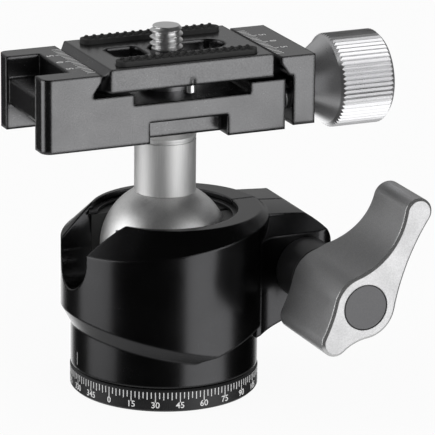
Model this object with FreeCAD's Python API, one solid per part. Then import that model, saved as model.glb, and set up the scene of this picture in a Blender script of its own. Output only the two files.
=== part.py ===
import FreeCAD, Part
import math
import os

# Tripod ball head with a quick-release clamp and plate, in millimetres.
# Origin: centre of the base's bottom face. +Z up, +X along the clamp towards its knob.
# The drop notch faces -X, the split ears stand out at +X, the lock knob points to -Y.

Vec = FreeCAD.Vector
UP = Vec(0, 0, 1)
RIGHT = Vec(1, 0, 0)
FRONT = Vec(0, -1, 0)

# Clearances
running_gap = 0.05
fixed_gap = 0.02
loose_gap = 0.30
face_gap = 0.05

# Base ring, pan axle and what holds the turning body down
base_radius = 18.2
base_height = 4.4
base_edge_chamfer = 0.4
base_plateau_radius = 14.5
base_plateau_height = 2.2
tripod_thread_radius = 3.97
tripod_thread_depth = 8.0
axle_radius = 6.0
axle_flange_radius = 9.0
axle_flange_height = 2.0
pan_washer_thickness = 0.4
pan_washer_inner_radius = 8.0
wave_washer_thickness = 0.5
wave_washer_radius = 8.8
ring_nut_radius = 9.0
ring_nut_height = 1.9
ring_nut_slots = 4
ring_nut_slot_width = 2.0
ring_nut_slot_depth = 1.4

# Ball, neck and the race round the ball
ball_radius = 12.5
ball_height = 27.8
neck_radius = 5.93
neck_collar_radius = 7.3
neck_collar_height = 1.65
neck_groove_depth = 0.35
neck_groove_width = 0.5
race_wall = 1.6
race_bottom = 16.0
race_below_rim = 1.8
race_hole_radius = 5.5
race_split_width = 1.2
circlip_thickness = 0.6
circlip_inner_radius = 13.1
circlip_groove_depth = 0.6

# Turning body
skirt_inset = 1.9
skirt_gap = 0.35
body_radius = 20.0
ledge_middle_height = 11.35
ledge_tilt = 12.5
ledge_low_x = 3.0
ledge_low_height = 10.7
ledge_rise_to_ears = 17.0
body_step_height = 2.2
shoulder_width = 4.0
shoulder_edge_height = 32.0
shoulder_fall_outside = 2.5
shoulder_tilt = 7.5
rim_height = 35.2
floor_thickness = 3.5
notch_clearance = 0.47
notch_flare_start = 27.0
notch_flare_middle_half_width = 6.9
notch_flare_middle_height = 31.5
notch_flare_half_width = 8.5

# Split ears that the lock spindle pulls together
ear_end_radius = 9.6
ear_end_x = 20.9
ear_end_z = 25.4
ear_half_width = 13.5
ear_underside_slope = 23.0
ear_blend_radius = 7.0
ear_corner_radius = 4.0
ear_crown_half_width = 8.8
ear_crown_height = 33.9
ear_crown_fall = 2.7
slit_width = 0.5

# Lock spindle and lever knob
lock_x = 23.6
lock_z = 24.3
spindle_radius = 3.0
spindle_drive_radius = 2.6
spindle_end_inset = 2.5
lock_bush_radius = 4.5
lock_bush_length = 9.0
lock_collar_radius = 6.1
lock_collar_length = 7.0
lock_washer_thickness = 0.7
knob_depth = 18.8
knob_hub_radius = 6.3
knob_long_reach = 10.7
knob_long_rise = 17.2
knob_short_reach = 5.95
knob_short_drop = 6.25
knob_tip_radius = 2.75
knob_long_hollow_radius = 14.0
knob_long_back_radius = 45.0
knob_short_hollow_radius = 9.0
knob_short_back_radius = 26.0
knob_tip_thickness = 12.8
knob_edge_chamfer = 0.5
knob_cap_radius = 4.4
knob_cap_thickness = 1.2
knob_cap_chamfer = 0.2
knob_sweep_share = 0.7
knob_screw_radius = 1.5
knob_screw_head_radius = 2.9
knob_screw_head_height = 2.4
knob_screw_length = 9.0
knob_web = 1.0

# Clamp
clamp_bottom = 51.9
clamp_height = 14.2
clamp_half_width = 11.9
clamp_left = -29.5
clamp_right = 19.6
clamp_corner_radius = 1.8
dovetail_centre = 0.4
dovetail_half_width = 19.4
lip_half_gap = 18.3
lip_height = 1.3
flank_height = 2.5
flank_run = 1.75
channel_depth = 4.35
recess_left = -11.4
recess_right = 12.4
recess_depth = 2.15
prong_notch_x = -22.85
prong_notch_half_width = 7.4
web_bottom = 57.0
web_inset = 0.5
under_notch_left = -8.2
under_notch_right = 7.8
under_notch_height = 4.05
under_notch_depth = 3.9

# Moving jaw, its screw, knob, guide pins and springs
jaw_inner_x = 21.3
jaw_outer_x = 25.8
jaw_bottom = 52.5
clamp_screw_z = 57.2
clamp_screw_radius = 2.5
clamp_screw_start = 9.5
clamp_screw_hole_start = 6.5
clamp_screw_end = 39.0
guide_pin_radius = 1.5
guide_pin_offset = 8.0
guide_pin_start = 13.0
guide_pin_end = 24.6
spring_wire_radius = 0.25
spring_coil_radius = 2.1
spring_turns = 5
spring_pocket_radius = 2.6
spring_pocket_depth = 3.8
clamp_washer_thickness = 0.6
clamp_washer_radius = 5.2
clamp_knob_radius = 9.15
clamp_knob_neck_radius = 5.0
clamp_knob_neck_length = 2.4
clamp_knob_cone_length = 5.0
clamp_knob_neck_flare = 0.4
clamp_knob_shoulder = 0.8
clamp_knob_grip_length = 10.7
clamp_knob_flutes = 60
clamp_knob_flute_depth = 0.45
clamp_knob_chamfer = 0.9
clamp_knob_bore_depth = 13.0

# Bolt that holds the clamp on the neck
neck_bolt_radius = 3.0
neck_bolt_head_radius = 5.0
neck_bolt_head_height = 3.9
neck_bolt_length = 14.5
neck_bolt_hex_width = 4.0
neck_bolt_hex_depth = 2.0
neck_bolt_seat = 57.5

# Camera plate
plate_floor_gap = 0.65
plate_thickness = 4.53
plate_half_length = 11.8
plate_offset_y = -0.2
plate_edge_height = 0.6
plate_top_half_width = 16.5
plate_corner_cut = 2.8
plate_window_left = -11.6
plate_window_right = -4.9
plate_window_half_width = 3.6
plate_window_corner = 1.0
slot_half_width = 3.5
slot_travel = 8.4
slot_pocket_depth = 2.2
pad_length = 28.6
pad_width = 3.2
pad_height = 1.4
pad_sink = 0.5
pad_offset = 8.9
stop_screw_offset = 10.6
stop_screw_radius = 1.0
stop_screw_drop = 1.5
stop_screw_hold = 1.4

# Camera screw
camera_screw_radius = 3.175
camera_screw_neck_radius = 2.8
camera_screw_height = 4.5
camera_screw_head_radius = 5.8
camera_screw_head_height = 1.3
camera_screw_slot_width = 1.2
camera_screw_slot_depth = 0.8
camera_washer_thickness = 0.5

# Sizes that follow from the ones above
plateau_top = base_height + base_plateau_height
floor_bottom = plateau_top + pan_washer_thickness
floor_top = floor_bottom + floor_thickness
skirt_bottom = base_height + skirt_gap
skirt_radius = body_radius - skirt_inset
shoulder_start_radius = body_radius - shoulder_width
ledge_low_point = Vec(ledge_low_x, 0, ledge_low_height)
wave_washer_top = floor_top + wave_washer_thickness
ring_nut_top = wave_washer_top + ring_nut_height
nut_pocket_radius = ring_nut_radius + 2 * loose_gap
seat_radius = ball_radius + running_gap
race_outer_radius = seat_radius + race_wall - fixed_gap
race_top = rim_height - race_below_rim
socket_radius = race_outer_radius + fixed_gap
circlip_bottom = race_top + face_gap
circlip_top = circlip_bottom + circlip_thickness
groove_radius = socket_radius + circlip_groove_depth
notch_half_width = neck_radius + notch_clearance
neck_collar_bottom = clamp_bottom - face_gap - neck_collar_height
clamp_top = clamp_bottom + clamp_height
channel_floor = clamp_top - channel_depth
recess_floor = channel_floor - recess_depth
ear_face = -ear_half_width
lock_collar_front = ear_face - face_gap - lock_collar_length
lock_washer_front = lock_collar_front - lock_washer_thickness
knob_back = lock_washer_front - face_gap
knob_long_tip = Vec(knob_long_reach, 0, knob_long_rise)
knob_short_tip = Vec(-knob_short_reach, 0, -knob_short_drop)
knob_front = knob_back - knob_depth
knob_cap_back = knob_front + knob_cap_thickness
knob_screw_seat = knob_cap_back + face_gap + knob_screw_head_height
spindle_front = knob_screw_seat + knob_web
clamp_washer_end = jaw_outer_x + face_gap + clamp_washer_thickness
clamp_knob_start = clamp_washer_end + face_gap
clamp_knob_grip_start = clamp_knob_start + clamp_knob_neck_length + clamp_knob_cone_length
clamp_knob_end = clamp_knob_grip_start + clamp_knob_grip_length
plate_bottom = channel_floor + plate_floor_gap
plate_top = plate_bottom + plate_thickness
pocket_top = plate_bottom + slot_pocket_depth
camera_washer_top = pocket_top - face_gap
camera_washer_bottom = camera_washer_top - camera_washer_thickness
camera_head_top = camera_washer_bottom - face_gap
camera_head_bottom = camera_head_top - camera_screw_head_height
camera_screw_top = plate_top + camera_screw_height
past = 1.0


def rod(radius, start, length, direction):
    """Cylinder from a start point along a direction."""
    return Part.makeCylinder(radius, length, start, direction)


def block(x0, x1, y0, y1, z0, z1):
    """Box between two corners."""
    return Part.makeBox(x1 - x0, y1 - y0, z1 - z0, Vec(x0, y0, z0))


def ring(outer, inner, bottom, top):
    """Flat ring about the vertical axis."""
    outside = rod(outer, Vec(0, 0, bottom), top - bottom, UP)
    return outside.cut(rod(inner, Vec(0, 0, bottom - past), top - bottom + 2 * past, UP))


def face_of(points):
    """Flat face with straight sides."""
    return Part.Face(Part.makePolygon(points + [points[0]]))


def turned_upright(profile):
    """Solid of revolution about Z from (radius, height) points."""
    points = [Vec(radius, 0, height) for radius, height in profile]
    return face_of(points).revolve(Vec(0, 0, 0), UP, 360)


def turned_lying(profile, height):
    """Solid of revolution about an axis along X, from (x, radius) points."""
    points = [Vec(x, radius, height) for x, radius in profile]
    return face_of(points).revolve(Vec(0, 0, height), RIGHT, 360)


def round_slot(x0, x1, y, half_width, z0, z1):
    """Slot with round ends along X, cut straight down."""
    middle = block(x0, x1, y - half_width, y + half_width, z0, z1)
    left = rod(half_width, Vec(x0, y, z0), z1 - z0, UP)
    right = rod(half_width, Vec(x1, y, z0), z1 - z0, UP)
    return middle.fuse([left, right]).removeSplitter()


def along_lock_axis(radius, y_from, y_to):
    """Cylinder on the lock spindle's axis between two Y positions."""
    return rod(radius, Vec(lock_x, max(y_from, y_to), lock_z), abs(y_from - y_to), FRONT)


def along_clamp_axis(radius, x_from, x_to, y=0.0):
    """Cylinder along X at the clamp screw's height."""
    return rod(radius, Vec(x_from, y, clamp_screw_z), x_to - x_from, RIGHT)


def chamfered(shape, size, wanted):
    """Chamfer the edges that a test picks."""
    edges = [edge for edge in shape.Edges if wanted(edge)]
    return shape.makeChamfer(size, edges)


def rounded(shape, size, wanted):
    """Round the edges that a test picks."""
    edges = [edge for edge in shape.Edges if wanted(edge)]
    return shape.makeFillet(size, edges)


def base_ring():
    """Disc with the degree scale and the plateau that the pan washer lies on."""
    chamfer = base_edge_chamfer
    disc = turned_upright([
        (0, 0),
        (base_radius - chamfer, 0),
        (base_radius, chamfer),
        (base_radius, base_height - chamfer),
        (base_radius - chamfer, base_height),
        (base_plateau_radius, base_height),
        (base_plateau_radius, plateau_top),
        (0, plateau_top),
    ])
    flange_seat = rod(axle_flange_radius + fixed_gap, Vec(0, 0, -past), axle_flange_height + past, UP)
    shaft_hole = rod(axle_radius + fixed_gap, Vec(0, 0, 0), plateau_top + past, UP)
    return disc.cut([flange_seat, shaft_hole])


def pan_axle():
    """Steel axle with the female tripod thread and a flange under the base ring."""
    shaft = rod(axle_radius, Vec(0, 0, 0), ring_nut_top, UP)
    flange = rod(axle_flange_radius, Vec(0, 0, 0), axle_flange_height - fixed_gap, UP)
    thread = rod(tripod_thread_radius, Vec(0, 0, -past), tripod_thread_depth + past, UP)
    return shaft.fuse(flange).removeSplitter().cut(thread)


def pan_washer():
    """Slippery washer between the base ring and the turning body."""
    outer = base_plateau_radius - loose_gap
    return ring(outer, pan_washer_inner_radius, plateau_top, floor_bottom)


def wave_washer():
    """Spring washer under the ring nut."""
    return ring(wave_washer_radius, axle_radius + loose_gap, floor_top, wave_washer_top)


def pan_ring_nut():
    """Slotted ring nut on the axle's top."""
    nut = ring(ring_nut_radius, axle_radius + fixed_gap, wave_washer_top, ring_nut_top)
    cuts = []
    for index in range(ring_nut_slots):
        slot = block(ring_nut_radius - ring_nut_slot_depth, ring_nut_radius + past,
                     -ring_nut_slot_width / 2, ring_nut_slot_width / 2,
                     wave_washer_top - past, ring_nut_top + past)
        slot.rotate(Vec(0, 0, 0), UP, index * 360.0 / ring_nut_slots)
        cuts.append(slot)
    return nut.cut(cuts)


def notch_space(half_width, x_outer, x_inner):
    """Round-bottomed space that the neck drops into, towards -X."""
    top = rim_height + past
    upper = block(x_outer, x_inner, -half_width, half_width, ball_height, top)
    lower = rod(half_width, Vec(x_outer, 0, ball_height), x_inner - x_outer, RIGHT)
    return upper.fuse(lower).removeSplitter()


def ear_plan():
    """Outline of both ears from above, blended into the round body."""
    side = ear_half_width
    centre_y = side + ear_blend_radius
    centre_x = math.sqrt((body_radius + ear_blend_radius) ** 2 - centre_y ** 2)
    share = body_radius / (body_radius + ear_blend_radius)
    body_x = centre_x * share
    body_y = centre_y * share
    end_x = ear_end_x + ear_end_radius
    corner = ear_corner_radius
    angle_body = math.atan2(body_y - centre_y, body_x - centre_x)
    angle_middle = (angle_body - math.pi / 2) / 2
    middle_x = centre_x + ear_blend_radius * math.cos(angle_middle)
    middle_y = centre_y + ear_blend_radius * math.sin(angle_middle)
    turn = corner * (1 - math.cos(math.pi / 4))

    def upper(x, y):
        return Vec(x, y, 0)

    def lower(x, y):
        return Vec(x, -y, 0)

    edges = [Part.makeLine(lower(body_x, body_y), upper(body_x, body_y))]
    for place in (upper, lower):
        blend = Part.Arc(place(body_x, body_y), place(middle_x, middle_y), place(centre_x, side))
        edges.append(blend.toShape())
        edges.append(Part.makeLine(place(centre_x, side), place(end_x - corner, side)))
        round_end = Part.Arc(place(end_x - corner, side), place(end_x - turn, side - turn),
                             place(end_x, side - corner))
        edges.append(round_end.toShape())
    edges.append(Part.makeLine(upper(end_x, side - corner), lower(end_x, side - corner)))
    return Part.Face(Part.Wire(Part.__sortEdges__(edges)))


def ear_side_profile():
    """Ears seen from the front: round end and rising underside."""
    slope = math.radians(ear_underside_slope)
    centre = Vec(ear_end_x, 0, ear_end_z)
    radius = ear_end_radius
    low = centre + Vec(radius * math.sin(slope), 0, -radius * math.cos(slope))
    far_right = centre + Vec(radius, 0, 0)
    start = Vec(0, 0, low.z - low.x * math.tan(slope))
    shoulder = Vec(ear_end_x + radius * math.sin(slope), 0, ear_end_z + radius * math.cos(slope))
    inner_top = Vec(0, 0, rim_height + 2 * past)
    outer_top = Vec(ear_end_x - radius, 0, rim_height + 2 * past)
    edges = [
        Part.makeLine(start, low),
        Part.Arc(low, far_right, shoulder).toShape(),
        Part.makeLine(shoulder, outer_top),
        Part.makeLine(outer_top, inner_top),
        Part.makeLine(inner_top, start),
    ]
    face = Part.Face(Part.Wire(edges))
    face.translate(Vec(0, ear_half_width + past, 0))
    return face.extrude(FRONT * (2 * ear_half_width + 2 * past))


def ear_crown():
    """Ears seen along the body's middle: flat crown that falls to both sides."""
    side = ear_half_width + past
    fall = ear_crown_fall * (side - ear_crown_half_width) / (ear_half_width - ear_crown_half_width)
    low = ear_crown_height - fall
    top = rim_height + 3 * past
    outline = face_of([
        Vec(0, -side, 0),
        Vec(0, -side, low),
        Vec(0, -ear_crown_half_width, ear_crown_height),
        Vec(0, -ear_crown_half_width, top),
        Vec(0, ear_crown_half_width, top),
        Vec(0, ear_crown_half_width, ear_crown_height),
        Vec(0, side, low),
        Vec(0, side, 0),
    ])
    return outline.extrude(RIGHT * (ear_end_x + ear_end_radius + past))


def notch_flare():
    """Space between the notch's upper edges, which curve apart towards the rim."""
    narrow = notch_half_width
    wide = notch_flare_half_width
    half = notch_flare_middle_half_width
    height = notch_flare_middle_height
    top = rim_height + past
    left = Part.Arc(Vec(0, -narrow, notch_flare_start), Vec(0, -half, height), Vec(0, -wide, rim_height))
    right = Part.Arc(Vec(0, wide, rim_height), Vec(0, half, height), Vec(0, narrow, notch_flare_start))
    edges = [
        left.toShape(),
        Part.makeLine(Vec(0, -wide, rim_height), Vec(0, -wide, top)),
        Part.makeLine(Vec(0, -wide, top), Vec(0, wide, top)),
        Part.makeLine(Vec(0, wide, top), Vec(0, wide, rim_height)),
        right.toShape(),
        Part.makeLine(Vec(0, narrow, notch_flare_start), Vec(0, -narrow, notch_flare_start)),
    ]
    face = Part.Face(Part.Wire(edges))
    face.translate(Vec(-body_radius - past, 0, 0))
    return face.extrude(RIGHT * (body_radius + past - ball_radius / 2))


def tilted(shape, angle, height):
    """Shape turned about the Y axis through the origin, then lifted."""
    copy = shape.copy()
    copy.rotate(Vec(0, 0, 0), Vec(0, 1, 0), angle)
    copy.translate(Vec(0, 0, height))
    return copy


def body_blank():
    """Turning body before its hollows are cut: round body and ears."""
    reach = ear_end_x + ear_end_radius + past
    far = 2 * reach
    round_body = rod(body_radius, Vec(0, 0, skirt_bottom), rim_height - skirt_bottom + past, UP)
    steep = body_step_height / (body_radius - skirt_radius)
    ledge_waste = tilted(turned_upright([
        (0, -far),
        (reach, -far),
        (reach, (reach - body_radius) * steep),
        (0, -body_radius * steep),
    ]), ledge_tilt, ledge_middle_height)
    skirt = rod(skirt_radius, Vec(0, 0, -far), 2 * far, UP)
    rise = math.tan(math.radians(ledge_rise_to_ears))
    under_ears = face_of([
        ledge_low_point + Vec(-far, 0, -far * rise),
        ledge_low_point + Vec(far, 0, far * rise),
        ledge_low_point + Vec(far, 0, -far),
        ledge_low_point + Vec(-far, 0, -far),
    ])
    under_ears.translate(Vec(0, reach, 0))
    under_ears = under_ears.extrude(FRONT * (2 * reach))
    round_body = round_body.cut([ledge_waste.cut(skirt), under_ears.cut(skirt)])
    ears = ear_plan().extrude(UP * (rim_height + 2 * past)).common(ear_side_profile()).common(ear_crown())
    blank = round_body.fuse(ears).removeSplitter()
    fall = (rim_height - shoulder_edge_height) / (body_radius - shoulder_start_radius)
    shoulder_waste = tilted(turned_upright([
        (0, body_radius * fall),
        (body_radius, 0),
        (far, -shoulder_fall_outside * (far - body_radius) / (reach - body_radius)),
        (far, far),
        (0, far),
    ]), -shoulder_tilt, shoulder_edge_height)
    level_waste = block(-far, far, -far, far, rim_height, rim_height + far)
    return blank.cut([shoulder_waste, level_waste, notch_flare()])


def housing():
    """Split turning body with socket, drop notch, slit and spindle holes."""
    plateau_pocket = rod(base_plateau_radius + loose_gap, Vec(0, 0, 0), floor_bottom, UP)
    axle_hole = rod(axle_radius + running_gap, Vec(0, 0, 0), floor_top + past, UP)
    nut_pocket = rod(nut_pocket_radius, Vec(0, 0, floor_top), race_bottom - floor_top + past, UP)
    socket = rod(socket_radius, Vec(0, 0, race_bottom), rim_height, UP)
    groove = rod(groove_radius, Vec(0, 0, circlip_bottom - face_gap), circlip_thickness + 2 * face_gap, UP)
    notch = notch_space(notch_half_width, -body_radius - past, -ball_radius / 2)
    slit = block(ball_radius, ear_end_x + ear_end_radius + past, -slit_width / 2, slit_width / 2,
                 floor_top, rim_height + past)
    front_hole = along_lock_axis(spindle_radius + loose_gap, ear_face - past, 0)
    rear_hole = along_lock_axis(lock_bush_radius + fixed_gap, 0, ear_half_width + past)
    body = body_blank()
    return body.cut([plateau_pocket, axle_hole, nut_pocket, socket, groove, notch, slit,
                     front_hole, rear_hole])


def ball_race():
    """Split sleeve that grips the ball all round."""
    sleeve = ring(race_outer_radius, race_hole_radius, race_bottom, race_top)
    ball_space = Part.makeSphere(seat_radius, Vec(0, 0, ball_height))
    notch = notch_space(notch_half_width, -socket_radius - past, -ball_radius / 4)
    split = block(0, socket_radius + past, -race_split_width / 2, race_split_width / 2,
                  race_bottom - past, race_top + past)
    return sleeve.cut([ball_space, notch, split])


def race_circlip():
    """Open snap ring that keeps the race in the socket."""
    clip = ring(groove_radius - loose_gap / 2, circlip_inner_radius, circlip_bottom, circlip_top)
    gap_half = notch_half_width + loose_gap
    gap = block(-socket_radius - 2 * past, 0, -gap_half, gap_half,
                circlip_bottom - past, circlip_top + past)
    return clip.cut(gap)


def lock_thread_bush():
    """Steel threaded bush in the rear ear."""
    outside = along_lock_axis(lock_bush_radius, ear_half_width - lock_bush_length, ear_half_width)
    bore = along_lock_axis(spindle_radius + running_gap, 0, ear_half_width + past)
    return outside.cut(bore)


def lock_collar():
    """Plain collar between the front ear and the lever knob."""
    outside = along_lock_axis(lock_collar_radius, ear_face - face_gap, lock_collar_front)
    bore = along_lock_axis(spindle_radius + running_gap, 0, lock_collar_front - past)
    return outside.cut(bore)


def lock_washer():
    """Thrust washer behind the lever knob."""
    radius = lock_collar_radius - loose_gap
    outside = along_lock_axis(radius, lock_collar_front, lock_washer_front)
    bore = along_lock_axis(spindle_radius + running_gap, 0, lock_washer_front - past)
    return outside.cut(bore)


def lock_spindle():
    """Threaded spindle with a slimmer end for the lever knob."""
    thread_end = ear_half_width - spindle_end_inset
    thread = along_lock_axis(spindle_radius, thread_end, knob_back)
    drive = along_lock_axis(spindle_drive_radius, knob_back, spindle_front)
    screw_hole = along_lock_axis(knob_screw_radius + fixed_gap, knob_screw_seat + knob_screw_length + past,
                                 spindle_front - past)
    return thread.fuse(drive).removeSplitter().cut(screw_hole)


def meeting_centre(centre_a, reach_a, centre_b, reach_b, side):
    """Point at two distances from two centres, on one side of the line between them."""
    span = centre_b - centre_a
    length = span.Length
    along = (length ** 2 + reach_a ** 2 - reach_b ** 2) / (2 * length)
    across = math.sqrt(reach_a ** 2 - along ** 2)
    unit = span * (1 / length)
    normal = Vec(-unit.z, 0, unit.x)
    return centre_a + unit * along + normal * (across * side)


def toward(centre, target, radius):
    """Point on a circle round centre, towards target."""
    return centre + (target - centre).normalize() * radius


def arc_about(centre, radius, start, end, bulge):
    """Arc on a circle between two points, through the side that bulge points to."""
    middle = toward(centre, centre + bulge, radius)
    return Part.Arc(start, middle, end).toShape()


def knob_outline():
    """Lever outline about its own axis: hub, long wing and short wing."""
    hub = Vec(0, 0, 0)
    tips = ((knob_long_tip, knob_long_hollow_radius, knob_long_back_radius),
            (knob_short_tip, knob_short_hollow_radius, knob_short_back_radius))
    edges = []
    hub_points = []
    for tip, hollow, back in tips:
        side_centres = (
            (meeting_centre(hub, knob_hub_radius + hollow, tip, knob_tip_radius + hollow, 1), hollow),
            (meeting_centre(hub, knob_hub_radius + back, tip, knob_tip_radius + back, -1), back),
        )
        tip_points = []
        for centre, radius in side_centres:
            at_hub = toward(hub, centre, knob_hub_radius)
            at_tip = toward(tip, centre, knob_tip_radius)
            bulge = (at_hub + at_tip) * 0.5 - centre
            edges.append(arc_about(centre, radius, at_hub, at_tip, bulge))
            hub_points.append(at_hub)
            tip_points.append(at_tip)
        edges.append(arc_about(tip, knob_tip_radius, tip_points[0], tip_points[1], tip - hub))
    long_left, long_right, short_right, short_left = hub_points
    for first, second in ((long_left, short_left), (short_right, long_right)):
        edges.append(arc_about(hub, knob_hub_radius, first, second, first + second))
    return Part.Face(Part.Wire(Part.__sortEdges__(edges)))


def lock_knob():
    """Two-winged lever knob with a swept back, cap pocket and screw seat."""
    outline = knob_outline()
    outline.translate(Vec(lock_x, knob_back, lock_z))
    lever = outline.extrude(FRONT * knob_depth)
    at_front = knob_front + knob_edge_chamfer / 10
    lever = chamfered(lever, knob_edge_chamfer, lambda edge: edge.BoundBox.YMax < at_front)
    wing = knob_long_tip
    reach = wing.Length + knob_tip_radius
    direction = Vec(wing.x, 0, wing.z).normalize()
    axis_point = Vec(lock_x, 0, lock_z)
    sweep_start = axis_point + direction * knob_hub_radius
    sweep_end = axis_point + direction * (reach + past)
    tip_back = knob_front + knob_tip_thickness
    side = Vec(-direction.z, 0, direction.x)
    middle = (sweep_start + sweep_end) * 0.5
    rise = knob_back + knob_sweep_share * (tip_back - knob_back)
    bend = Part.Arc(Vec(sweep_start.x, knob_back, sweep_start.z), Vec(middle.x, rise, middle.z),
                    Vec(sweep_end.x, tip_back, sweep_end.z)).toShape()
    behind = Vec(0, past, 0)
    outer_back = Vec(sweep_end.x, knob_back, sweep_end.z) + behind
    inner_back = Vec(sweep_start.x, knob_back, sweep_start.z) + behind
    edges = [
        bend,
        Part.makeLine(Vec(sweep_end.x, tip_back, sweep_end.z), outer_back),
        Part.makeLine(outer_back, inner_back),
        Part.makeLine(inner_back, Vec(sweep_start.x, knob_back, sweep_start.z)),
    ]
    sweep = Part.Face(Part.Wire(edges))
    width = 4 * knob_hub_radius
    sweep.translate(side * (-width / 2))
    drive_hole = along_lock_axis(spindle_drive_radius + fixed_gap, knob_back + past, spindle_front - face_gap)
    screw_hole = along_lock_axis(knob_screw_radius + fixed_gap, knob_back, knob_front)
    head_seat = along_lock_axis(knob_screw_head_radius + fixed_gap, knob_screw_seat, knob_front - past)
    cap_pocket = along_lock_axis(knob_cap_radius + fixed_gap, knob_cap_back, knob_front - past)
    return lever.cut([sweep.extrude(side * width), drive_hole, screw_hole, head_seat, cap_pocket])


def knob_cap():
    """Round cap over the knob's screw."""
    cap = along_lock_axis(knob_cap_radius, knob_cap_back, knob_front)
    return chamfered(cap, knob_cap_chamfer, lambda edge: edge.BoundBox.YMax < knob_front + 0.01)


def knob_screw():
    """Screw that holds the lever knob on the spindle."""
    head = along_lock_axis(knob_screw_head_radius, knob_screw_seat, knob_screw_seat - knob_screw_head_height)
    shank = along_lock_axis(knob_screw_radius, knob_screw_seat + knob_screw_length, knob_screw_seat)
    return head.fuse(shank).removeSplitter()


def ball():
    """The ball, a full sphere."""
    return Part.makeSphere(ball_radius, Vec(0, 0, ball_height))


def neck():
    """Stem on the ball, hollowed to the ball's shape at its foot."""
    stem_height = neck_collar_bottom - ball_height
    stem = rod(neck_radius, Vec(0, 0, ball_height), stem_height, UP)
    groove = ring(neck_radius + past, neck_radius - neck_groove_depth,
                  neck_collar_bottom - 2 * neck_groove_width, neck_collar_bottom - neck_groove_width)
    bolt_bottom = neck_bolt_seat - neck_bolt_length - past
    bolt_hole = rod(neck_bolt_radius + fixed_gap, Vec(0, 0, bolt_bottom), neck_bolt_length, UP)
    ball_space = Part.makeSphere(seat_radius, Vec(0, 0, ball_height))
    return stem.cut([ball_space, groove, bolt_hole])


def neck_collar():
    """Flared collar between neck and clamp."""
    top = neck_collar_bottom + neck_collar_height
    cone = Part.makeCone(neck_radius, neck_collar_radius, neck_collar_height, Vec(0, 0, neck_collar_bottom))
    return cone.cut(rod(neck_bolt_radius + fixed_gap, Vec(0, 0, neck_collar_bottom - past),
                        top - neck_collar_bottom + 2 * past, UP))


def neck_bolt():
    """Socket-head bolt from the clamp's recess down into the neck."""
    head = rod(neck_bolt_head_radius, Vec(0, 0, neck_bolt_seat), neck_bolt_head_height, UP)
    shank = rod(neck_bolt_radius, Vec(0, 0, neck_bolt_seat - neck_bolt_length), neck_bolt_length, UP)
    hex_radius = neck_bolt_hex_width / math.sqrt(3)
    head_top = neck_bolt_seat + neck_bolt_head_height
    corners = []
    for index in range(6):
        angle = math.radians(60 * index)
        corners.append(Vec(hex_radius * math.cos(angle), hex_radius * math.sin(angle), head_top))
    socket = face_of(corners).extrude(UP * -neck_bolt_hex_depth)
    return head.fuse(shank).removeSplitter().cut(socket)


def clamp_body():
    """Clamp with its fixed jaw, forked end, channel, recess and pin holes."""
    width = clamp_half_width
    blank = block(clamp_left, clamp_right, -width, width, clamp_bottom, clamp_top)

    def outer_corner(edge):
        box = edge.BoundBox
        return box.ZLength > clamp_height - past and box.XMax < clamp_left + 0.01

    blank = rounded(blank, clamp_corner_radius, outer_corner)
    lip_x = dovetail_centre - lip_half_gap
    lip_bottom = clamp_top - lip_height
    flank_bottom = lip_bottom - flank_height
    far = clamp_right + past
    channel_profile = face_of([
        Vec(lip_x, 0, clamp_top + past),
        Vec(lip_x, 0, lip_bottom),
        Vec(lip_x - flank_run, 0, flank_bottom),
        Vec(lip_x - flank_run, 0, channel_floor),
        Vec(far, 0, channel_floor),
        Vec(far, 0, clamp_top + past),
    ])
    channel_profile.translate(Vec(0, width + past, 0))
    channel = channel_profile.extrude(FRONT * (2 * width + 2 * past))
    recess = block(recess_left, recess_right, -width - past, width + past, recess_floor, clamp_top)
    half = prong_notch_half_width
    upper_notch = block(clamp_left - past, prong_notch_x, -half, half, channel_floor, clamp_top + past)
    lower_notch = block(clamp_left - past, prong_notch_x, -half, half, clamp_bottom - past, web_bottom)
    web_end = block(clamp_left - past, clamp_left + web_inset, -half, half, web_bottom, channel_floor)
    cuts = [channel, recess, upper_notch, lower_notch, web_end]
    for side in (-1, 1):
        y_out = side * (width + past)
        y_in = side * (width - under_notch_depth)
        cuts.append(block(under_notch_left, under_notch_right, min(y_out, y_in), max(y_out, y_in),
                          clamp_bottom - past, clamp_bottom + under_notch_height))
        pin_y = side * guide_pin_offset
        cuts.append(along_clamp_axis(guide_pin_radius + running_gap, guide_pin_start - past,
                                     clamp_right + past, pin_y))
        cuts.append(along_clamp_axis(spring_pocket_radius, clamp_right - spring_pocket_depth,
                                     clamp_right + past, pin_y))
    cuts.append(along_clamp_axis(clamp_screw_radius + running_gap, clamp_screw_hole_start, clamp_right + past))
    cuts.append(rod(neck_bolt_radius + running_gap, Vec(0, 0, clamp_bottom - past), clamp_height, UP))
    cuts.append(rod(neck_bolt_head_radius + running_gap, Vec(0, 0, neck_bolt_seat), clamp_height, UP))
    return blank.cut(cuts)


def clamp_jaw():
    """Moving jaw with the second dovetail lip."""
    width = clamp_half_width
    lip_x = dovetail_centre + lip_half_gap
    lip_bottom = clamp_top - lip_height
    flank_bottom = lip_bottom - flank_height
    profile = face_of([
        Vec(lip_x, 0, clamp_top),
        Vec(jaw_outer_x, 0, clamp_top),
        Vec(jaw_outer_x, 0, jaw_bottom),
        Vec(jaw_inner_x, 0, jaw_bottom),
        Vec(jaw_inner_x, 0, flank_bottom),
        Vec(lip_x + flank_run, 0, flank_bottom),
        Vec(lip_x, 0, lip_bottom),
    ])
    profile.translate(Vec(0, width, 0))
    jaw = profile.extrude(FRONT * (2 * width))
    cuts = [along_clamp_axis(clamp_screw_radius + loose_gap, jaw_inner_x - past, jaw_outer_x + past)]
    for side in (-1, 1):
        pin_y = side * guide_pin_offset
        cuts.append(along_clamp_axis(guide_pin_radius + fixed_gap, jaw_inner_x - past,
                                     guide_pin_end + fixed_gap, pin_y))
    return jaw.cut(cuts)


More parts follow.
